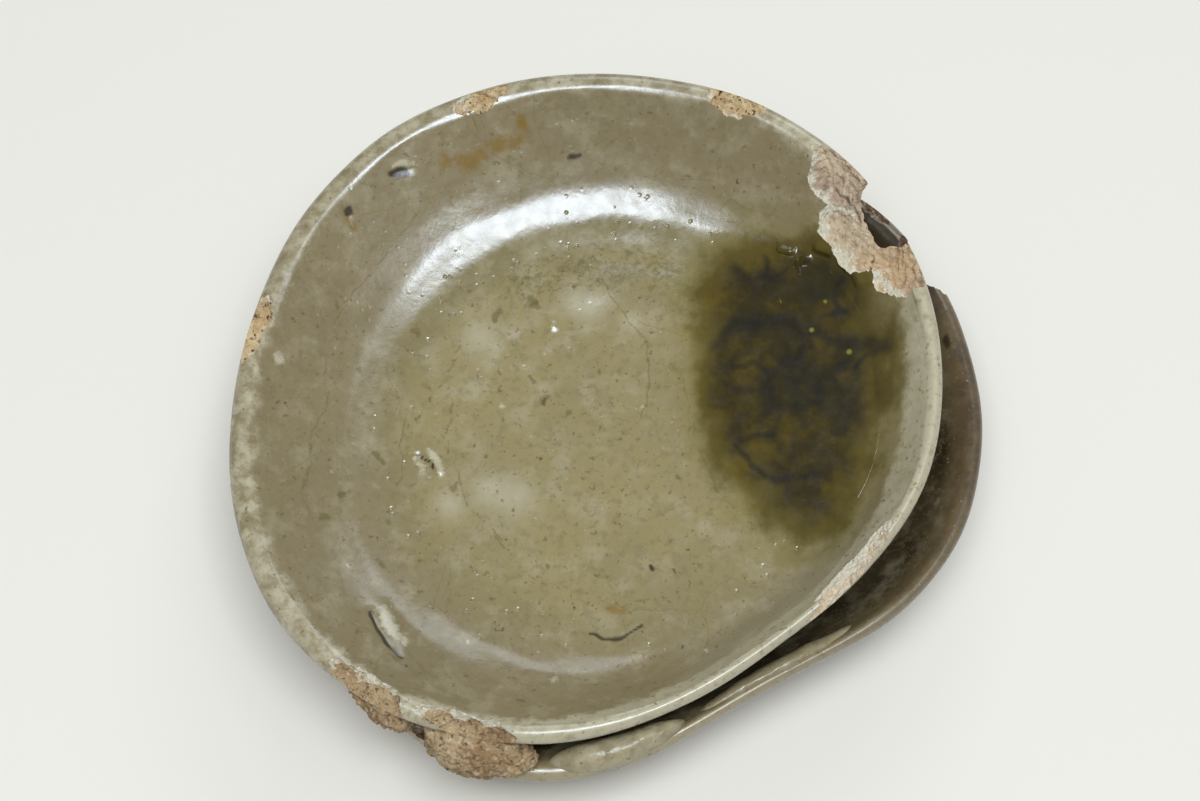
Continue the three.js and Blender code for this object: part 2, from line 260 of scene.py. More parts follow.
def dark_reach(x, y):
    """Distance inwards from the edge of the dark glaze, negative outside it."""
    away = near_line(x, y, [*DARK_EDGE, DARK_EDGE[0]])
    return np.where(within(x, y, DARK_EDGE), away, -away)


# Each groove or ridge is a line of places, its width and its depth or height
GROOVES = [
    ([(-36.6, -26.6), (-35.2, -29.3), (-33.6, -31.9), (-32, -34.2)], 0.6, 0.35),
    ([(-4, -29.8), (-1.2, -30.2), (2.6, -28.9)], 0.5, 0.08),
    ([(-34.6, 42.3), (-33.6, 42.7), (-32.4, 43)], 0.6, 0.22),
    ([(-30.7, -1), (-29.9, -2), (-29, -3), (-28.8, -4.2)], 0.4, 0.5),
    ([(-42, 36), (-41.6, 35)], 0.5, 0.2),
]
RIDGES = [
    ([(-35.2, -26), (-33.4, -28.6), (-31.6, -31.2)], 1.6, 0.2),
    ([(-29.6, -0.8), (-28.6, -2.2), (-27.8, -3.6)], 0.9, 0.3),
    ([(-31.4, -1.8), (-30.6, -3.6)], 0.7, 0.15),
    ([(-10.6, 19.9)], 0.7, 0.35),
    ([(24.6, 30.6), (26.2, 30)], 0.6, 0.8),
    ([(27.2, 28), (28.6, 28.6)], 0.6, 0.8),
    ([(30.4, 29.6), (32.2, 28.6)], 0.7, 0.9),
    ([(33.8, 26.9), (35, 25.6)], 0.6, 0.8),
    ([(35.6, 24.6), (36.2, 23)], 0.6, 0.4),
    ([(22.5, 31), (23.2, 29.4)], 0.5, 0.3),
]
# Swells and dents so broad that they only bend the reflections: x, y, width, height
SWELLS = [
    (-22, 18, 4.5, 0.10), (-7, 24, 3.5, 0.09), (1.5, 20.5, 3.0, 0.08), (-18.5, -7.5, 5.0, 0.12),
    (-19, 6.5, 2.5, 0.06), (2.5, 6, 2.5, 0.06), (-2, -22, 5.0, 0.08), (-30, 20, 5.0, -0.1),
]


def inside_relief(x, y):
    """Small unevenness of the upper dish's inside, along its surface's normal: rings left by throwing,
    lumps of the glaze, then the marks. It fades at the middle and towards the rim."""
    reach = np.hypot(x, y)
    rings = 0.035 * np.sin(reach * 1.3 + 0.9 * np.sin(2 * np.arctan2(y, x)))
    lumps = 0.10 * np.sin(0.19 * x + 1.3) * np.sin(0.23 * y - 0.4) + 0.04 * np.sin(0.55 * x - 0.31 * y)
    relief = (rings + lumps) * np.clip(reach / 20, 0, 1) * np.clip((50 - reach) / 8, 0.3, 1)
    for points, width, depth in GROOVES:
        relief = relief - depth * stroke(x, y, points, width)
    for points, width, height in RIDGES:
        relief = relief + height * stroke(x, y, points, width)
    for at_x, at_y, width, height in SWELLS:
        relief = relief + height * stroke(x, y, [(at_x, at_y)], width)
    return relief


# Colour marks on the inside of the upper dish, some of them painted highlights: lines of places, width and
# strength
DARK_MARKS = [
    ([(-36.7, -26.6), (-35.2, -29.3), (-33.6, -31.9), (-32, -34.2)], 0.42, 0.8),
    ([(-4.2, -29.8), (-1.2, -30.2), (3, -28.7)], 0.42, 0.8),
    ([(-34.6, 42.3), (-33.6, 42.8), (-32.4, 43)], 0.75, 1.0),
    ([(-42.1, 36), (-41.7, 35.2)], 0.5, 1.0),
    ([(-30.7, -1), (-29.9, -2), (-29, -3), (-28.8, -4.2)], 0.22, 1.0),
    ([(-8, 45.6), (-6.4, 45.8)], 0.5, 0.8),
    ([(-51.7, 4.6)], 0.3, 0.9), ([(-50.8, 4.8)], 0.3, 0.9),
    ([(-14.4, -40.8), (-13.4, -40.9)], 0.6, 0.5),
    ([(4.5, -19.5), (4.7, -20.1)], 0.5, 0.9),
    ([(-7.5, -26)], 0.35, 0.8), ([(-5, -25.6)], 0.32, 0.8),
    ([(-13, 24), (-14.4, 23.4)], 0.7, 0.5), ([(-12.4, 7.6), (-12, 8.6)], 0.55, 0.6),
]
OLIVE_MARKS = [
    ([(-32, 19.5), (-31.4, 18.7)], 0.8), ([(-14, 24.5), (-13.2, 23.6)], 1.0),
    ([(-19.5, 21), (-18.3, 22)], 0.7), ([(-29.5, 7.5)], 0.7), ([(-12.5, 8), (-11.8, 9)], 0.8),
    ([(-13.5, 11.5)], 0.7), ([(-8.5, 5.5)], 0.6), ([(-25.5, -6.5)], 0.8), ([(-41.5, -8)], 0.9),
    ([(-35, -11.5)], 0.6), ([(-37.5, -1), (-36.6, -2)], 0.8), ([(-44.5, -11.5)], 0.9),
    ([(-0.5, -12.5)], 0.6), ([(-36, -18), (-35, -18.6)], 0.6), ([(8, -5)], 0.6), ([(-24, 26)], 0.5),
    ([(4, 14)], 0.5), ([(-5, -2)], 0.5), ([(-40, 12)], 0.5), ([(-3, 12.5)], 0.5), ([(-20, -20)], 0.6),
    ([(-12, -14)], 0.5), ([(-43, 22)], 0.6), ([(10, 38)], 0.5), ([(-10, 41)], 0.5),
    ([(-16, 27), (-4, 29.5), (7, 28)], 5.0, 0.6),
]
RUST_MARKS = [
    ([(-26.8, 44.4), (-23.4, 44.8)], 1.4), ([(-23.4, 45), (-19.6, 46.8), (-15, 48.7)], 1.1),
    ([(-15.2, 50.6), (-14.6, 49.2)], 0.9), ([(-41.5, 34.8), (-40.8, 33.2)], 0.6),
    ([(-2, -25.8), (0, -26)], 0.7),
]
# Pale marks: partly pale glaze, partly painted highlights on bubbles, raised ridges, the slit pit's edge
# and low swells of the floor
PALE_AND_GLINT_MARKS = [
    ([(-35.2, -26), (-33.4, -28.6), (-31.6, -31)], 1.2), ([(-34.6, 43.4), (-33.4, 44), (-31.6, 44)], 0.5),
    ([(-29.2, -0.8), (-28.3, -2.6), (-27.9, -4)], 0.8), ([(-31.5, -1.6), (-30.7, -3.8)], 0.6),
    ([(-10.6, 19.9)], 0.6), ([(-51.2, 12.2), (-50.8, 11)], 0.8), ([(-10, -36.5)], 0.8),
    ([(-22.5, -30.5)], 0.5), ([(-19, 6.5)], 0.7), ([(2.5, 6)], 0.6), ([(-33, 28)], 0.4),
    ([(-44, -4)], 0.4), ([(12, -33)], 0.5), ([(-40, -20)], 0.5),
]
# Painted highlights: pale patches where the glaze would catch the lamps, on low swells of the floor and
# along the near wall
PAINTED_SHEEN_MARKS = [
    ([(-22, 18)], 3.0), ([(-7, 24), (-5, 23)], 2.6), ([(1.5, 20.5)], 1.8), ([(-20, -7), (-16, -8)], 3.0),
    ([(-26, -9)], 2.5), ([(14, -37), (26, -29), (34, -20)], 5.0, 0.6),
]
CRAZE_LINES = [
    [(-29.5, 41), (-32.5, 36), (-35, 32), (-40, 25.5), (-44, 19)],
    [(-26, 42.5), (-26.4, 39), (-26, 35.5)],
    [(-15.5, 46), (-15.2, 42.5), (-15.6, 39.5)],
    [(-25.5, 17.5), (-26.5, 8), (-26, -2), (-24, -6.5), (-18.5, -15.5)],
    [(-44.5, 14), (-45, 7), (-47, -3), (-47, -9), (-45.5, -13.5)],
    [(-47.5, 30.5), (-50, 22.5)],
    [(-3.5, 27.5), (0.5, 22.5), (3, 17.5), (4.7, 11), (2.5, 4.5)],
    [(11.5, 30), (11.8, 26.5), (12, 23.5), (15.5, 20)],
    [(9.5, 11.5), (9.6, 7), (10.5, 2.5), (13, -5.5), (17.5, -11.5)],
    [(-22.2, 51), (-22.3, 48.4)], [(-17.5, 52.4), (-14.4, 49.4)],
    [(-20, -14), (-14, -20), (-8, -23), (0, -25), (8, -24)],
    [(-12, 31), (-4, 33), (5, 31)], [(-36, 14), (-33, 4), (-34, -6)],
]
# Blue-black streaks in the pool
STREAKS = [
    ([(14.3, 15.5), (17.4, 18.6), (22, 19.7), (27.3, 17.4), (33.3, 15), (40, 12.4)], 1.5, 0.9),
    ([(21.8, 9.8), (25.6, 12), (29.3, 9.4), (29.4, 6), (26.9, 4.4), (22.4, 5.6), (21.8, 9.8)], 1.5, 0.75),
    ([(17, -0.8), (19.5, -3.9), (22.8, -6), (26.6, -6.5), (29.5, -6)], 0.7, 0.95),
    ([(26, 18.6), (27.6, 14), (27, 11.5)], 1.0, 0.8), ([(31, 10), (34.5, 11.5), (36, 14.2)], 1.0, 0.7),
    ([(18, 14), (20.4, 10.6), (21.6, 7)], 1.0, 0.6), ([(24, 4), (23.6, -2.6), (22.4, -6)], 0.8, 0.45),
    ([(26, 8)], 5.0, 0.6), ([(31, 17)], 4.0, 0.6), ([(34, 8), (33.6, 2)], 2.4, 0.5),
    ([(20, 25), (24, 27)], 2.0, 0.45), ([(30, 23), (34, 20)], 2.2, 0.55), ([(17, 22), (19, 26)], 1.2, 0.4),
]
POOL_SPOTS = [([(29, 17)], 0.5), ([(34.5, 13)], 0.55), ([(31.2, 21.4)], 0.4), ([(24.4, 22)], 0.3)]


def strongest(x, y, marks):
    """The greatest of several marks at each place. A mark is its places, width and, if given, strength."""
    best = np.zeros_like(x)
    for points, width, *strength in marks:
        best = np.maximum(best, (strength or [1.0])[0] * stroke(x, y, points, width))
    return best


def wavering(x, y):
    """The plan, shaken slightly, so that painted lines don't run straight."""
    return (
        x + 0.45 * np.sin(0.61 * y + 0.7) + 0.16 * np.sin(1.9 * y + 1.1 * x),
        y + 0.45 * np.sin(0.57 * x + 2.1) + 0.16 * np.sin(2.1 * x - 1.3 * y),
    )


# Meshes

def ring_faces(rows, steps):
    """Quads that join rings of points, and the pairs of neighbours round one ring."""
    step = np.arange(steps)
    after = (step + 1) % steps
    row = np.arange(rows - 1)[:, None] * steps
    quads = np.stack([row + step, row + steps + step, row + steps + after, row + after], -1).reshape(-1, 4)
    return [*map(tuple, quads.tolist())], [*zip(step.tolist(), after.tolist())]


def new_piece(name, points, faces, materials):
    mesh = bpy.data.meshes.new(name)
    mesh.from_pydata(points.tolist(), [], faces)
    for material in materials:
        mesh.materials.append(material)
    thing = bpy.data.objects.new(name, mesh)
    bpy.context.scene.collection.objects.link(thing)
    return thing


def turned_mesh(name, inside, outside, steps, warp, relief, materials):
    """A dish as one closed mesh. relief(x, y, is_inside) moves its surface along the normal."""
    profile = np.vstack([inside, outside])
    ahead = np.vstack([profile[1:], profile[-1:]])
    behind = np.vstack([profile[:1], profile[:-1]])
    along = ahead - behind
    along /= np.maximum(np.linalg.norm(along, axis=1, keepdims=True), 1e-9)
    normal = np.stack([-along[:, 1], along[:, 0]], 1)
    angles = np.linspace(0, 2 * math.pi, steps, endpoint=False)
    radius, angle = np.meshgrid(profile[:, 0], angles, indexing="ij")
    height = np.repeat(profile[:, 1:], steps, 1)
    x, y, z = warp_points(radius, angle, height, warp)
    rows = np.arange(len(profile))[:, None]
    is_inside = rows < len(inside)
    z = z - np.where(is_inside, hollow_at(x, y), 0)
    move = relief(x, y, is_inside)
    x = x + move * normal[:, :1] * np.cos(angle)
    y = y + move * normal[:, :1] * np.sin(angle)
    z = z + move * normal[:, 1:]
    points = np.stack([x, y, z], -1)[1:-1].reshape(-1, 3)
    first = [0, 0, inside[0, 1] + float(np.mean(move[0])) - float(hollow_at(0, 0))]
    last = [0, 0, float(np.mean(z[-1]))]
    points = np.vstack([points, [first], [last]])
    count = len(profile) - 2
    quads, pairs = ring_faces(count, steps)
    top = [(len(points) - 2, a, b) for a, b in pairs]
    end = (count - 1) * steps
    bottom = [(len(points) - 1, end + b, end + a) for a, b in pairs]
    return new_piece(name, points, [*quads, *top, *bottom], materials)


def mesh_points(thing):
    flat = np.empty(len(thing.data.vertices) * 3)
    thing.data.vertices.foreach_get("co", flat)
    return flat.reshape(-1, 3)


def set_points(thing, points):
    thing.data.vertices.foreach_set("co", points.ravel())
    thing.data.update()


def rough_lump(name, half, roughness, seed, grain, material):
    """A rounded lump with a broken, grainy surface, centred on the origin. half is its half sizes."""
    bpy.ops.mesh.primitive_ico_sphere_add(subdivisions=LUMP_DETAIL, radius=1)
    lump = bpy.context.object
    lump.name = name
    points = mesh_points(lump)
    shift = Vector((seed * 7.3, seed * 3.1, seed * 5.7))
    half = np.array(half, float)
    moved = np.empty_like(points)
    for i, point in enumerate(points):
        spot = Vector(point * half)
        broad = noise.fractal(spot * 0.22 + shift, 1.0, 2.0, 2)
        small = noise.fractal(spot * 1.3 + shift, 0.9, 2.1, 4)
        moved[i] = point * (1 + roughness * broad) * half + point * grain * small
    set_points(lump, moved)
    lump.data.materials.append(material)
    return lump


def rim_place(warp, degrees, inward, rise):
    """Place beside a warped rim, turned so that +X leads outwards."""
    angle = math.radians(degrees)
    x, y, z = warp_points(RIM_RADIUS - inward, angle, RIM_HEIGHT + rise, warp)
    return Matrix.Translation((x, y, z)) @ Matrix.Rotation(angle, 4, "Z")


def cut(thing, cutters):
    """Cuts the cutters out of a mesh; the cut faces take the cutters' material."""
    for cutter in cutters:
        boolean = thing.modifiers.new("cut", "BOOLEAN")
        boolean.operation = "DIFFERENCE"
        boolean.solver = "MANIFOLD"
        boolean.object = cutter
    bpy.context.view_layer.update()
    result = bpy.data.meshes.new_from_object(thing.evaluated_get(bpy.context.evaluated_depsgraph_get()))
    thing.modifiers.clear()
    thing.data = result
    for cutter in cutters:
        bpy.data.objects.remove(cutter)


def drop_crumbs(thing):
    """Keeps only the largest connected body of a mesh."""
    bm = bmesh.new()
    bm.from_mesh(thing.data)
    left = set(bm.verts)
    bodies = []
    while left:
        seed = left.pop()
        body = [seed]
        queue = [seed]
        while queue:
            vert = queue.pop()
            for edge in vert.link_edges:
                other = edge.other_vert(vert)
                if other in left:
                    left.discard(other)
                    body.append(other)
                    queue.append(other)
        bodies.append(body)
    bodies.sort(key=len)
    for body in bodies[:-1]:
        bmesh.ops.delete(bm, geom=body, context="VERTS")
    bm.to_mesh(thing.data)
    bm.free()


def soften(thing, degrees):
    """Smooth shading, with edges sharper than the angle kept."""
    thing.data.shade_smooth()
    thing.data.set_sharp_from_angle(angle=math.radians(degrees))


def give(thing, name, values):
    """Writes one value for each point of a mesh, which the materials read as a mask."""
    layer = thing.data.attributes.get(name) or thing.data.attributes.new(name, "FLOAT", "POINT")
    layer.data.foreach_set("value", np.ascontiguousarray(values, dtype=np.float32))


# Materials

def linear(code):
    """A written sRGB colour as the linear values that a shader takes."""
    parts = [int(code[i:i + 2], 16) / 255 for i in (1, 3, 5)]
    return (*[c / 12.92 if c <= 0.04045 else ((c + 0.055) / 1.055) ** 2.4 for c in parts], 1)


class Shader:
    """A material with short names for making and joining its nodes."""

    def __init__(self, name):
        self.material = bpy.data.materials.new(name)
        self.material.use_nodes = True
        self.tree = self.material.node_tree
        self.surface = self.tree.nodes["Principled BSDF"]
        self.place = self.add("ShaderNodeTexCoord").outputs["Object"]

    def add(self, kind, **settings):
        made = self.tree.nodes.new(kind)
        for key, value in settings.items():
            setattr(made, key, value)
        return made

    def join(self, source, target):
        if isinstance(source, (int, float, tuple)):
            target.default_value = source
        else:
            self.tree.links.new(source, target)

    def mask(self, name):
        return self.add("ShaderNodeAttribute", attribute_name=name).outputs["Fac"]

    def grain(self, scale, detail=2.0, rough=0.5):
        made = self.add("ShaderNodeTexNoise")
        self.join(self.place, made.inputs["Vector"])
        made.inputs["Scale"].default_value = scale
        made.inputs["Detail"].default_value = detail
        made.inputs["Roughness"].default_value = rough
        return made.outputs["Fac"]

    def cells(self, scale, feature="F1", place=None):
        made = self.add("ShaderNodeTexVoronoi", feature=feature)
        self.join(place or self.place, made.inputs["Vector"])
        made.inputs["Scale"].default_value = scale
        return made.outputs["Distance"]

    def ramp(self, value, low, high, start=0.0, end=1.0):
        made = self.add("ShaderNodeMapRange", clamp=True, interpolation_type="SMOOTHSTEP")
        self.join(value, made.inputs["Value"])
        made.inputs["From Min"].default_value = low
        made.inputs["From Max"].default_value = high
        made.inputs["To Min"].default_value = start
        made.inputs["To Max"].default_value = end
        return made.outputs["Result"]

    def sums(self, kind, a, b):
        made = self.add("ShaderNodeMath", operation=kind)
        self.join(a, made.inputs[0])
        self.join(b, made.inputs[1])
        return made.outputs[0]

    def mix(self, share, a, b):
        """A mix of two colours, which are this node's inputs 6 and 7 and its output 2."""
        made = self.add("ShaderNodeMix", data_type="RGBA")
        self.join(share, made.inputs["Factor"])
        self.join(a, made.inputs[6])
        self.join(b, made.inputs[7])
        return made.outputs[2]

    def shaken(self, scale, amount):
        """The object's coordinates, pushed about by noise."""
        made = self.add("ShaderNodeTexNoise")
        self.join(self.place, made.inputs["Vector"])
        made.inputs["Scale"].default_value = scale
        made.inputs["Detail"].default_value = 2
        push = self.add("ShaderNodeVectorMath", operation="MULTIPLY_ADD")
        self.join(made.outputs["Color"], push.inputs[0])
        push.inputs[1].default_value = (amount, amount, amount)
        self.join(self.place, push.inputs[2])
        return push.outputs[0]

    def bump(self, height, distance, strength, under=None):
        made = self.add("ShaderNodeBump")
        self.join(height, made.inputs["Height"])
        made.inputs["Distance"].default_value = distance
        made.inputs["Strength"].default_value = strength
        if under is not None:
            self.join(under, made.inputs["Normal"])
        return made.outputs["Normal"]

    def finish(self, colour, roughness, normal):
        self.join(colour, self.surface.inputs["Base Color"])
        self.join(roughness, self.surface.inputs["Roughness"])
        self.join(normal, self.surface.inputs["Normal"])
        return self.material


def glaze_material(name, wall, well_and_gap_shade, rim, sheen=0.6):
    """Crackled ash glaze. Masks lead it: pool is the way in from the edge of the dark glaze, in mm."""
    s = Shader(name)
    pool = s.mask("pool")
    bare = s.mask("bare")
    foot = s.mask("foot")
    # Well colour; on the lower dish it is painted shade in the gap under the upper dish
    colour = s.mix(s.mask("well_and_gap_shade"), linear(wall), linear(well_and_gap_shade))
    colour = s.mix(s.sums("MULTIPLY", s.mask("bend"), 0.7), colour, linear("#71683f"))
    for scale, low, high, share, tint in (
        (48, 0.38, 0.68, 0.42, "#766c4f"),
        (210, 0.46, 0.72, 0.42, "#a0977b"),
        (760, 0.48, 0.70, 0.46, "#6b6144"),
    ):
        colour = s.mix(s.ramp(s.grain(scale, 3, 0.6), low, high, 0.0, share), colour, linear(tint))
    # Painted highlights: pale patches mixed into the glaze where it would catch the lamps
    colour = s.mix(s.sums("MULTIPLY", s.mask("painted_sheen"), 0.42), colour, linear("#b9b49f"))
    edge = s.sums("ADD", bare, s.ramp(s.grain(380, 4, 0.65), 0.3, 0.7, -0.28, 0.28))
    colour = s.mix(s.ramp(edge, 0.15, 0.85), colour, linear(rim))
    worn = s.sums("MULTIPLY", s.ramp(edge, 0.5, 0.9), s.ramp(s.grain(900, 3, 0.6), 0.52, 0.7, 0.0, 0.8))
    colour = s.mix(worn, colour, linear("#8f8167"))
    tan = s.mix(s.ramp(s.grain(320, 4, 0.7), 0.35, 0.65), linear("#55412b"), linear("#35271a"))
    colour = s.mix(s.sums("MULTIPLY", s.mask("tan"), 0.85), colour, tan)
    for scale, low, high, share, tint in (
        (1150, 0.62, 0.71, 0.7, "#5c5133"),
        (560, 0.705, 0.76, 0.75, "#4c4226"),
        (2300, 0.66, 0.74, 0.4, "#bdb79c"),
    ):
        colour = s.mix(s.ramp(s.grain(scale, 3, 0.55), low, high, 0.0, share), colour, linear(tint))
    cracks = s.cells(80, "DISTANCE_TO_EDGE", s.shaken(110, 0.004))
    patchy = s.ramp(s.grain(38, 2), 0.5, 0.62)
    cracks = s.sums("MULTIPLY", s.ramp(cracks, 0.003, 0.012, 0.3, 0.0), patchy)
    colour = s.mix(cracks, colour, linear("#6d5c33"))
    ragged = s.ramp(s.grain(850, 4, 0.7), 0.3, 0.7, -0.3, 0.3)
    # The pale marks are partly painted highlights
    for mask, low, high, share, tint in (
        ("craze", 0.35, 1.0, 0.5, "#69562f"),
        ("olive", 0.35, 0.9, 0.6, "#585025"),
        ("pale", 0.35, 1.0, 0.6, "#c0baa2"),
    ):
        broken = s.sums("ADD", s.mask(mask), ragged)
        colour = s.mix(s.ramp(broken, low, high, 0.0, share), colour, linear(tint))
    stain = s.sums("MULTIPLY", s.mask("rust"), s.ramp(s.grain(300, 4, 0.75), 0.34, 0.62, 0.2, 1.2))
    colour = s.mix(s.ramp(stain, 0.1, 0.9, 0.0, 0.8), colour, linear("#7a5f24"))
    deep = s.sums("ADD", pool, s.ramp(s.grain(110, 4, 0.6), 0.3, 0.7, -2.0, 2.0))
    for low, high, share, tint in (
        (-4.0, 1.4, 0.6, "#716731"),
        (-1.4, 2.8, 0.9, "#4b3f0d"),
        (2.0, 7.5, 0.8, "#1d1702"),
    ):
        colour = s.mix(s.ramp(deep, low, high, 0.0, share), colour, linear(tint))
    golden = s.sums("MULTIPLY", s.ramp(s.grain(170, 4, 0.6), 0.44, 0.74), s.ramp(pool, 0.5, 3.0, 0.0, 0.6))
    colour = s.mix(golden, colour, linear("#5c4b06"))
    web = s.ramp(s.cells(150, "DISTANCE_TO_EDGE", s.shaken(130, 0.006)), 0.0, 0.2, 0.8, 0.0)
    web = s.sums("MULTIPLY", web, s.ramp(s.grain(90, 2), 0.4, 0.6))
    web = s.sums("MULTIPLY", web, s.ramp(pool, 2.0, 6.0))
    streaks = s.sums("MULTIPLY", s.mask("streak"), s.ramp(s.grain(240, 4, 0.65), 0.25, 0.6, 0.5, 1.0))
    streaks = s.sums("MAXIMUM", streaks, web)
    colour = s.mix(s.ramp(streaks, 0.0, 1.0, 0.0, 0.7), colour, linear("#0f1011"))
    colour = s.mix(s.ramp(s.mask("spot"), 0.3, 0.9, 0.0, 0.8), colour, linear("#7d7a34"))
    colour = s.mix(s.ramp(s.mask("dark"), 0.25, 0.8, 0.0, 0.9), colour, linear("#2c2315"))
    clay = s.mix(s.ramp(s.grain(170, 4, 0.6), 0.38, 0.66), linear("#b0957a"), linear("#94755a"))
    clay = s.mix(s.ramp(s.grain(1250, 2, 0.5), 0.60, 0.7, 0.0, 0.6), clay, linear("#5e4533"))
    colour = s.mix(foot, colour, clay)
    rough = s.ramp(edge, 0.15, 0.9, 0.2, 0.26)
    rough = s.sums("ADD", rough, s.ramp(s.grain(500, 3), 0.3, 0.7, -0.03, 0.06))
    rough = s.sums("SUBTRACT", rough, s.ramp(pool, 0.0, 3.0, 0.0, 0.04))
    rough = s.sums("ADD", rough, s.sums("MULTIPLY", foot, 0.6))
    pits = s.ramp(s.cells(560), 0.06, 0.24, -1.0, 0.0)
    pits = s.sums("MULTIPLY", pits, s.ramp(s.grain(140, 2), 0.46, 0.6))
    pits = s.sums("MULTIPLY", pits, s.ramp(s.mask("bend"), 0.0, 0.4, 0.2, 1.0))
    pits = s.sums("MULTIPLY", pits, s.ramp(pool, -1.0, 2.0, 1.0, 0.1))
    normal = s.bump(pits, 0.00018, 0.8)
    normal = s.bump(s.grain(900, 2, 0.55), 0.00006, 0.5, normal)
    normal = s.bump(s.grain(190, 2, 0.5), 0.00025, 0.3, normal)
    normal = s.bump(s.sums("MULTIPLY", s.grain(1300, 4, 0.6), foot), 0.0003, 0.9, normal)
    s.surface.inputs["IOR"].default_value = 1.6
    s.surface.inputs["Specular IOR Level"].default_value = sheen
    s.surface.inputs["Specular Tint"].default_value = (0.88, 0.93, 1.0, 1)
    return s.finish(colour, rough, normal)


def clay_material(name, body, warm, speck, speck_share, relief=1.0, skin_share=0.85):
    """Bare broken or trimmed clay, sandy and speckled. Its skin is the glaze left at a break's edge."""
    s = Shader(name)
    colour = s.mix(s.ramp(s.grain(130, 4, 0.6), 0.38, 0.64), linear(body), linear(warm))
    colour = s.mix(s.ramp(s.grain(900, 3, 0.6), 0.52, 0.7, 0.0, 0.3), colour, linear("#e2d3ba"))
    colour = s.mix(s.ramp(s.grain(1500, 2, 0.5), 0.60, 0.68, 0.0, speck_share), colour, linear(speck))
    colour = s.mix(s.ramp(s.grain(620, 3, 0.6), 0.58, 0.68, 0.0, speck_share * 0.7), colour, linear(speck))
    colour = s.mix(s.sums("MULTIPLY", s.mask("ochre"), 0.45), colour, linear("#c2a06e"))
    crack = s.sums("MULTIPLY", s.mask("crack"), s.ramp(s.grain(900, 3, 0.6), 0.35, 0.6, 0.4, 1.0))
    colour = s.mix(s.ramp(crack, 0.1, 0.7, 0.0, 0.7), colour, linear("#49352a"))
    skin = s.sums("ADD", s.mask("skin"), s.ramp(s.grain(300, 4, 0.6), 0.3, 0.7, -0.4, 0.4))
    skin = s.ramp(skin, 0.4, 0.62)
    colour = s.mix(s.sums("MULTIPLY", skin, skin_share), colour, linear("#bfbaa8"))
    rough = s.ramp(s.grain(700, 2), 0.3, 0.7, 0.72, 0.95)
    rough = s.sums("SUBTRACT", rough, s.sums("MULTIPLY", skin, 0.45))
    normal = s.bump(s.grain(1500, 4, 0.65), 0.0002 * relief, 0.8)
    normal = s.bump(s.grain(420, 3, 0.6), 0.0004 * relief, 0.6, normal)
    return s.finish(colour, rough, normal)


upper_glaze = glaze_material("upper_glaze", "#807355", "#8b7e56", "#aea68c")
# The lower glaze's near-black well colour is painted shade in the gap under the upper dish
lower_glaze = glaze_material("lower_glaze", "#7d6f50", "#241a0e", "#998d70")
weld_glaze = glaze_material("weld_glaze", "#82765a", "#82765a", "#a1977b", 0.3)
speckled_clay = clay_material("speckled_clay", "#c4b18b", "#ab9068", "#4a2c1e", 0.95)
broken_clay = clay_material("broken_clay", "#b7a58a", "#a08b76", "#6f5540", 0.5, 0.8)
burnt_clay = clay_material("burnt_clay", "#6b4f34", "#4b3523", "#20150e", 0.85, skin_share=0.15)
pale_clay = clay_material("pale_clay", "#c3b6a0", "#bba68c", "#8c7259", 0.35)
foot_clay = clay_material("foot_clay", "#b99d7d", "#a5815f", "#6a4a35", 0.5)
grit = clay_material("grit", "#a38d6b", "#846947", "#503826", 0.8)


# The two dishes

# Sharpest bend that is still shaded smooth, in degrees
SMOOTH_UP_TO = 32
# Way in from the edge of the dark glaze where there is none
NO_POOL = -20.0


def beyond_foot(x, y):
    """0 at the foot, so that it stays flat, and 1 from a little outside it."""
    return np.clip((np.hypot(x, y) - FOOT_RADIUS - 1) / 4, 0, 1)


def upper_relief(x, y, is_inside):
    outside = 0.12 * np.sin(0.23 * x + 0.5) * np.sin(0.2 * y + 1.0) * beyond_foot(x, y)
    return np.where(is_inside, inside_relief(x, y), outside)


def lower_relief(x, y, is_inside):
    return 0.15 * np.sin(0.21 * x + 2.0) * np.sin(0.25 * y + 0.3) * beyond_foot(x, y)


# Chips: direction, distance inwards from the rim, height above it, length, width up the wall, depth
CHIP_LEAN = 46.0
CHIP_ROUGHNESS = 0.24
SPECKLED_CHIPS = [(112, 1.8, -0.8, 9, 7, 2.8), (70, 0.6, 0.2, 11, 9, 4.2), (163, 0.6, 0.2, 14, 7, 3.6)]
BREAK_CHIPS = [
    (48, 3.0, -1.6, 12, 10.5, 4.6), (39, 5.0, -3.5, 16, 12.5, 3.8), (38, 0.6, -0.4, 13, 13, 14),
    (29, 3.0, -1.4, 11, 12, 4.2),
]
GRITTY_CHIPS = [(229, 0.6, 0.2, 15, 8, 5.6), (246, 0.6, 0.2, 19, 8, 5.8)]
PALE_CHIPS = [(324, 2.2, -1.0, 21, 7, 2.6)]
LOWER_CHIPS = [(33, 0.2, 0, 13, 9, 9), (45, 0.2, 0.4, 10, 5, 4), (243, 0.4, 0.2, 24, 6, 3.4)]
# Dark pits in the lower rim
LOWER_PITS = [
    ([(49.4, 17.4), (49.6, 16.4)], 0.6), ([(50.8, 14.8)], 0.35, 0.9), ([(48.3, 13.8)], 0.3, 0.9),
    ([(47.3, 24.9)], 0.5, 0.8), ([(48.4, 9)], 0.25, 0.7), ([(50, 19.4)], 0.3, 0.7),
]
# Dark cracks in the broken clay, in the dish's plan
CLAY_CRACKS = [
    ([(33.2, 37.5), (33.8, 36.4), (34.8, 35.9), (35.3, 34.5), (36.4, 33.5), (36.7, 32)], 0.22),
    ([(31.8, 38.8), (31, 36.6)], 0.9, 0.45), ([(31.4, 36.8), (30.9, 36), (31.1, 35.2)], 0.25, 0.9),
    ([(36, 36.4), (36.4, 35.2)], 0.4, 0.6), ([(38.4, 26.2)], 0.35, 0.8),
]


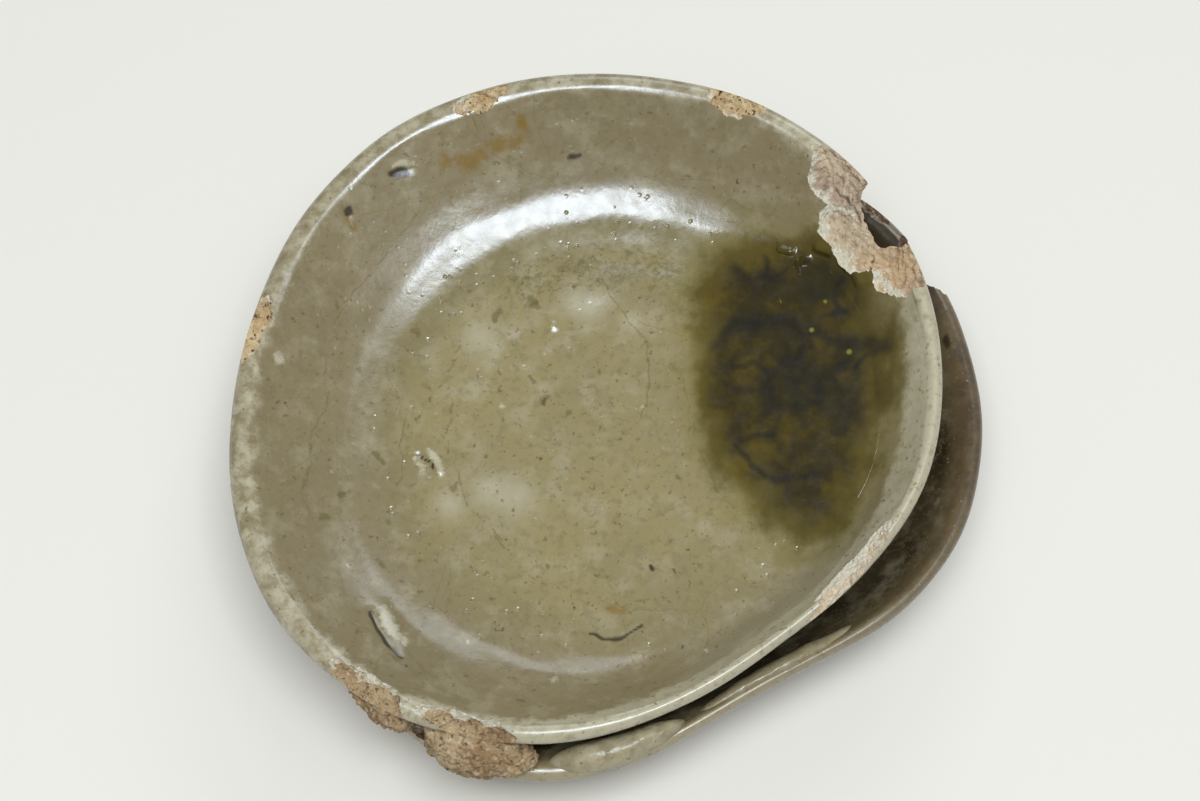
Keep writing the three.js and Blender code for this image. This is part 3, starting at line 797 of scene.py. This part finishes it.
def chip_cutters(chips, warp, seed, grain, clay):
    """Rough scoops along a rim, leaning with the wall."""
    cutters = []
    for i, (at, inward, rise, length, width, depth) in enumerate(chips):
        half = (width / 2, length / 2, depth / 2)
        cutter = rough_lump(f"chip_{seed}_{i}", half, CHIP_ROUGHNESS, seed + i, grain, clay)
        lean = Matrix.Rotation(-math.radians(CHIP_LEAN), 4, "Y")
        cutter.data.transform(rim_place(warp, at, inward, rise) @ lean)
        cutters.append(cutter)
    return cutters


upper_dish = turned_mesh(
    "upper_dish_body", inside_profile(74, 100) if fine else inside_profile(30, 40),
    outside_profile(16, 46), 720 if fine else 240, UPPER_WARP, upper_relief,
    [upper_glaze, speckled_clay, broken_clay, grit, pale_clay],
)
cut(upper_dish, [
    *chip_cutters(SPECKLED_CHIPS, UPPER_WARP, 1, 0.4, speckled_clay),
    *chip_cutters(BREAK_CHIPS, UPPER_WARP, 11, 0.4, broken_clay),
    *chip_cutters(GRITTY_CHIPS, UPPER_WARP, 41, 0.5, grit),
    *chip_cutters(PALE_CHIPS, UPPER_WARP, 21, 0.4, pale_clay),
])
drop_crumbs(upper_dish)

lower_dish = turned_mesh(
    "lower_dish_body", inside_profile(20, 60) if fine else inside_profile(12, 30),
    outside_profile(14, 46), 480 if fine else 200, LOWER_WARP, lower_relief,
    [lower_glaze, burnt_clay],
)
cut(lower_dish, chip_cutters(LOWER_CHIPS, LOWER_WARP, 31, 0.5, burnt_clay))
drop_crumbs(lower_dish)


def facing(angle, degrees, spread):
    """1 in one direction, falling off to both sides."""
    away = (np.degrees(angle) - degrees + 180) % 360 - 180
    return np.exp(-((away / spread) ** 2))


def inside_masks(thing, x, y, on_glaze):
    """Masks of the upper dish's inside, for the dish and for the pool on it."""
    moved_x, moved_y = wavering(x, y)
    give(thing, "pool", np.where(on_glaze > 0.5, dark_reach(x, y), NO_POOL))
    give(thing, "dark", strongest(moved_x, moved_y, DARK_MARKS) * on_glaze)
    give(thing, "olive", strongest(moved_x, moved_y, OLIVE_MARKS) * on_glaze)
    give(thing, "rust", strongest(x, y, RUST_MARKS) * on_glaze)
    give(thing, "pale", strongest(moved_x, moved_y, PALE_AND_GLINT_MARKS) * on_glaze)
    # Painted highlights on the floor and the near wall
    give(thing, "painted_sheen", strongest(x, y, PAINTED_SHEEN_MARKS) * on_glaze)
    give(thing, "streak", strongest(moved_x, moved_y, STREAKS) * on_glaze)
    give(thing, "spot", strongest(x, y, POOL_SPOTS) * on_glaze)
    crazes = [(line, 0.2) for line in CRAZE_LINES]
    give(thing, "craze", strongest(moved_x, moved_y, crazes) * on_glaze)
    reach = np.hypot(x + 2, y - 3)
    give(thing, "well_and_gap_shade", np.clip((38 - reach) / 9, 0, 1) * on_glaze)
    far_side = 0.35 + 0.65 * facing(np.arctan2(y, x), 100, 60)
    give(thing, "bend", np.exp(-(((reach - 33) / 3.2) ** 2)) * far_side * on_glaze)


def rim_band(angle):
    """Width of the pale band inside the rim."""
    return 2.0 + 5.2 * facing(angle, -8, 50) + 2.6 * facing(angle, -75, 40) + 1.4 * facing(angle, 190, 40)


def dish_masks(thing, warp, is_upper):
    """Writes the masks of a dish, in its own plan and in millimetres."""
    points = mesh_points(thing)
    x, y, z = points.T
    reach = np.hypot(x, y)
    angle = np.arctan2(y, x)
    edge_radius = np.full_like(x, RIM_RADIUS - 1.5)
    rim_x, rim_y, rim_z = warp_points(edge_radius, angle, np.full_like(x, RIM_HEIGHT), warp)
    rim_reach = np.hypot(rim_x, rim_y)
    below_rim = np.hypot(rim_reach - reach, rim_z - z)
    inner = (z > inside_height(warp, x, y) - 0.9) & (reach < rim_reach - 0.4)
    band = rim_band(angle) if is_upper else np.full_like(angle, 0.6)
    pale_inside = np.clip((band + 1.6 - below_rim) / 2.4, 0, 1)
    pale_outside = np.clip((4.5 - below_rim) / 2.5, 0, 1)
    # Painted light: the pale band of thin glaze at the rims is made paler towards the near side, where
    # light falls on it more
    near_side_light = 0.4 + 0.6 * facing(angle, -40, 90)
    give(thing, "bare", np.where(inner, pale_inside, pale_outside) * near_side_light)
    foot_line = 5.0 + 0.8 * np.sin(3 * angle + 1) + 0.5 * np.sin(7 * angle)
    give(thing, "foot", np.where(inner, 0, np.clip((foot_line - z) / 0.7, 0, 1)) * (reach < 40))
    below_glaze = (inside_height(warp, x, y) - z) * math.cos(math.radians(CHIP_LEAN))
    give(thing, "skin", np.clip(1 - below_glaze / 2.0, 0, 1))
    if is_upper:
        inside_masks(thing, x, y, inner.astype(float))
        give(thing, "crack", strongest(x, y, CLAY_CRACKS))
        give(thing, "ochre", facing(angle, 30, 7))
    else:
        give(thing, "pool", np.full_like(x, NO_POOL))
        # Painted shade: the lower dish's inside darkens with distance below its rim, where the upper dish
        # shades it
        deep = np.clip((below_rim - 1.5) / 4.5, 0, 1) * inner
        give(thing, "well_and_gap_shade", deep)
        give(thing, "tan", facing(angle, 5, 55) * (1 - 0.9 * deep))
        give(thing, "dark", np.maximum(facing(angle, 40, 18) * inner, strongest(x, y, LOWER_PITS)))


dish_masks(upper_dish, UPPER_WARP, True)
dish_masks(lower_dish, LOWER_WARP, False)

for dish, node, slot, place in (
    (upper_dish, "upper_dish", "ash_glaze_upper", UPPER_PLACE),
    (lower_dish, "lower_dish", "ash_glaze_lower", LOWER_PLACE),
):
    dish.data.transform(Matrix.Scale(MM, 4) @ place)
    soften(dish, SMOOTH_UP_TO)
    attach(dish, "root")
    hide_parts(node)


# The glaze pools: each is a lens on its dish's floor

def pool_piece(name, warp, level, relief, material, place):
    """Returns the lens, and for each of its points x, y and the way in from the lens's edge."""
    def pool_top(x, y):
        """Height over the dish's surface. The pool runs out softly and tucks in under that surface."""
        depth = level(x, y) - inside_height(warp, x, y) - relief(x, y)
        return 0.5 * (depth + np.sqrt(depth ** 2 + MENISCUS ** 2)) - TUCK

    turn = math.radians(POOL_DIRECTION)
    middle = np.array([HOLLOW_DISTANCE * math.cos(turn), HOLLOW_DISTANCE * math.sin(turn)])
    rings, steps = (110, 300) if fine else (50, 120)
    angles = np.linspace(0, 2 * math.pi, steps, endpoint=False)
    reach = np.linspace(0, 34, 500)
    # The lens ends where its top has sunk below the floor's surface
    edge = []
    for angle in angles:
        thickness = pool_top(middle[0] + reach * math.cos(angle), middle[1] + reach * math.sin(angle))
        edge.append(reach[np.argmax(thickness < -0.4 * TUCK)])
    edge = np.array(edge)
    share = np.linspace(0, 1, rings + 1)[1:]
    x = middle[0] + share[:, None] * edge * np.cos(angles)
    y = middle[1] + share[:, None] * edge * np.sin(angles)
    x = np.append(x.ravel(), middle[0])
    y = np.append(y.ravel(), middle[1])
    floor = inside_height(warp, x, y) + relief(x, y)
    top = floor + pool_top(x, y)
    count = len(x)
    points = np.vstack([np.stack([x, y, top], 1), np.stack([x, y, floor - POOL_SINK], 1)])
    quads, pairs = ring_faces(rings, steps)
    upper = [*quads, *[(count - 1, a, b) for a, b in pairs]]
    lower = [tuple(count + i for i in reversed(face)) for face in upper]
    last = (rings - 1) * steps
    under = count + last
    side = [(last + a, under + a, under + b, last + b) for a, b in pairs]
    thing = new_piece(name, points, [*upper, *lower, *side], [material])
    thing.data.transform(Matrix.Scale(MM, 4) @ place)
    thing.data.shade_smooth()
    way_in = np.append(((1 - share[:, None]) * edge).ravel(), edge.mean())
    return thing, np.tile(x, 2), np.tile(y, 2), np.tile(way_in, 2)


upper_pool, pool_x, pool_y, _ = pool_piece(
    "glaze_pool_lens", UPPER_WARP, upper_level, inside_relief, upper_glaze, UPPER_PLACE,
)
inside_masks(upper_pool, pool_x, pool_y, 1.0)
lower_pool, _, _, way_in = pool_piece(
    "lower_pool_lens", LOWER_WARP, lower_level, lambda x, y: lower_relief(x, y, True), lower_glaze,
    LOWER_PLACE,
)
# The lower pool turns dark about 5 mm in from its edge
give(lower_pool, "pool", way_in - 5.0)
# Painted shade: the whole lower pool takes the dark well colour, as it lies in shade under the upper dish
give(lower_pool, "well_and_gap_shade", np.ones_like(way_in))
for pool, node in ((upper_pool, "upper_glaze_pool"), (lower_pool, "lower_glaze_pool")):
    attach(pool, "root")
    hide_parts(node)

# Welds between the rims, bent along the lower one and sunk into both dishes:
# node, name, direction, distance inwards, height above the rim, width, length, height
GRIT_WELDS = [
    ("grit_weld_left", "grit_lump_left", 227, 1.1, 1.4, 5.6, 15, 8),
    ("grit_weld_front", "grit_lump_front", 246, 2.4, 0.9, 6.6, 18, 8.4),
]
GLAZE_WELDS = [
    ("glaze_weld_front", "glaze_tear_front", 269, 3.1, -1.6, 5, 22, 6.4),
    ("glaze_weld_middle", "glaze_tear_middle", 301, 3.5, -3.4, 4.8, 34, 6),
]


def add_weld(weld, material, roughness, seed, grain, paleness=0.0):
    node, name, at, inward, rise, width, length, height = weld
    half = (width / 2, length / 2, height / 2)
    lump = rough_lump(name, half, roughness, seed, grain, material)
    x, y, z = mesh_points(lump).T
    angle = math.radians(at) + y / RIM_RADIUS
    bent = warp_points(RIM_RADIUS - inward + x, angle, RIM_HEIGHT + rise + z, LOWER_WARP)
    set_points(lump, np.stack(bent, 1))
    lump.data.transform(Matrix.Scale(MM, 4) @ LOWER_PLACE)
    lump.data.shade_smooth()
    give(lump, "pool", np.full_like(x, NO_POOL))
    give(lump, "bare", np.full_like(x, paleness))
    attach(lump, "root")
    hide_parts(node)


for index, weld in enumerate(GRIT_WELDS):
    add_weld(weld, grit, roughness=0.16, seed=60 + index, grain=0.55)
for index, weld in enumerate(GLAZE_WELDS):
    paleness = 0.6 - 0.4 * index
    add_weld(weld, weld_glaze, roughness=0.08, seed=70 + index, grain=0.05, paleness=paleness)

# CAD pieces that stay: the wads between the dishes
for node in ("clay_wad_1", "clay_wad_2", "clay_wad_3"):
    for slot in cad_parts[node].material_slots:
        slot.material = foot_clay


# Floor, light and camera. Lamps are placed and sized in metres

FLOOR_SIZE = 3
FLOOR_DROP = 0.05 * MM
SKY = (0.89, 0.95, 1.0)
LAMP_AIM = Vector((0, 0, 0.02))


def floor_plane():
    bpy.ops.mesh.primitive_plane_add(size=FLOOR_SIZE)
    plane = bpy.context.object
    plane.name = "floor"
    plane.location.z = -FLOOR_DROP
    s = Shader("pale_floor")
    s.surface.inputs["Roughness"].default_value = 0.8
    s.surface.inputs["Base Color"].default_value = linear("#d9d5cc")
    plane.data.materials.append(s.material)


def soft_light(name, place, size, power, turn=0):
    """A rectangular lamp that faces the dishes; turn rolls it about its own axis, in degrees."""
    lamp = bpy.data.lights.new(name, "AREA")
    lamp.shape = "RECTANGLE"
    lamp.size, lamp.size_y = size
    lamp.energy = power
    lamp.color = SKY
    thing = bpy.data.objects.new(name, lamp)
    aim = (LAMP_AIM - Vector(place)).to_track_quat("-Z", "Y").to_matrix().to_4x4()
    roll = Matrix.Rotation(math.radians(turn), 4, "Z")
    thing.matrix_world = Matrix.Translation(place) @ aim @ roll
    bpy.context.scene.collection.objects.link(thing)


floor_plane()
soft_light("sky_above", (0.02, -0.2, 1.0), (0.6, 0.3), 8.0, turn=8)
soft_light("sky_haze", (0.06, -0.2, 1.02), (1.1, 0.56), 4.1, turn=10)
soft_light("sky_behind", (0.2, 1.0, 0.8), (0.9, 0.5), 3.5)

world = bpy.data.worlds.new("room")
world.use_nodes = True
background = world.node_tree.nodes["Background"]
background.inputs["Color"].default_value = (1, 0.98, 0.95, 1)
background.inputs["Strength"].default_value = 0.2
bpy.context.scene.world = world
bpy.context.scene.view_settings.view_transform = "Standard"

# Camera fitted to both rim outlines: above the table, away from its target in metres, lens and sensor in mm
ELEVATION = math.radians(67)
TARGET = Vector((-3.8 + FOOT_MIDDLE[0], 6.6 + FOOT_MIDDLE[1], 21.0)) * MM
TARGET_DISTANCE = 0.354
LENS = 70
SENSOR_WIDTH = 36
camera_data = bpy.data.cameras.new("camera")
camera_data.lens = LENS
camera_data.sensor_width = SENSOR_WIDTH
camera = bpy.data.objects.new("camera", camera_data)
camera.location = TARGET + Vector((0, -math.cos(ELEVATION), math.sin(ELEVATION))) * TARGET_DISTANCE
camera.rotation_euler = (math.pi / 2 - ELEVATION, 0, 0)
bpy.context.scene.collection.objects.link(camera)
bpy.context.scene.camera = camera
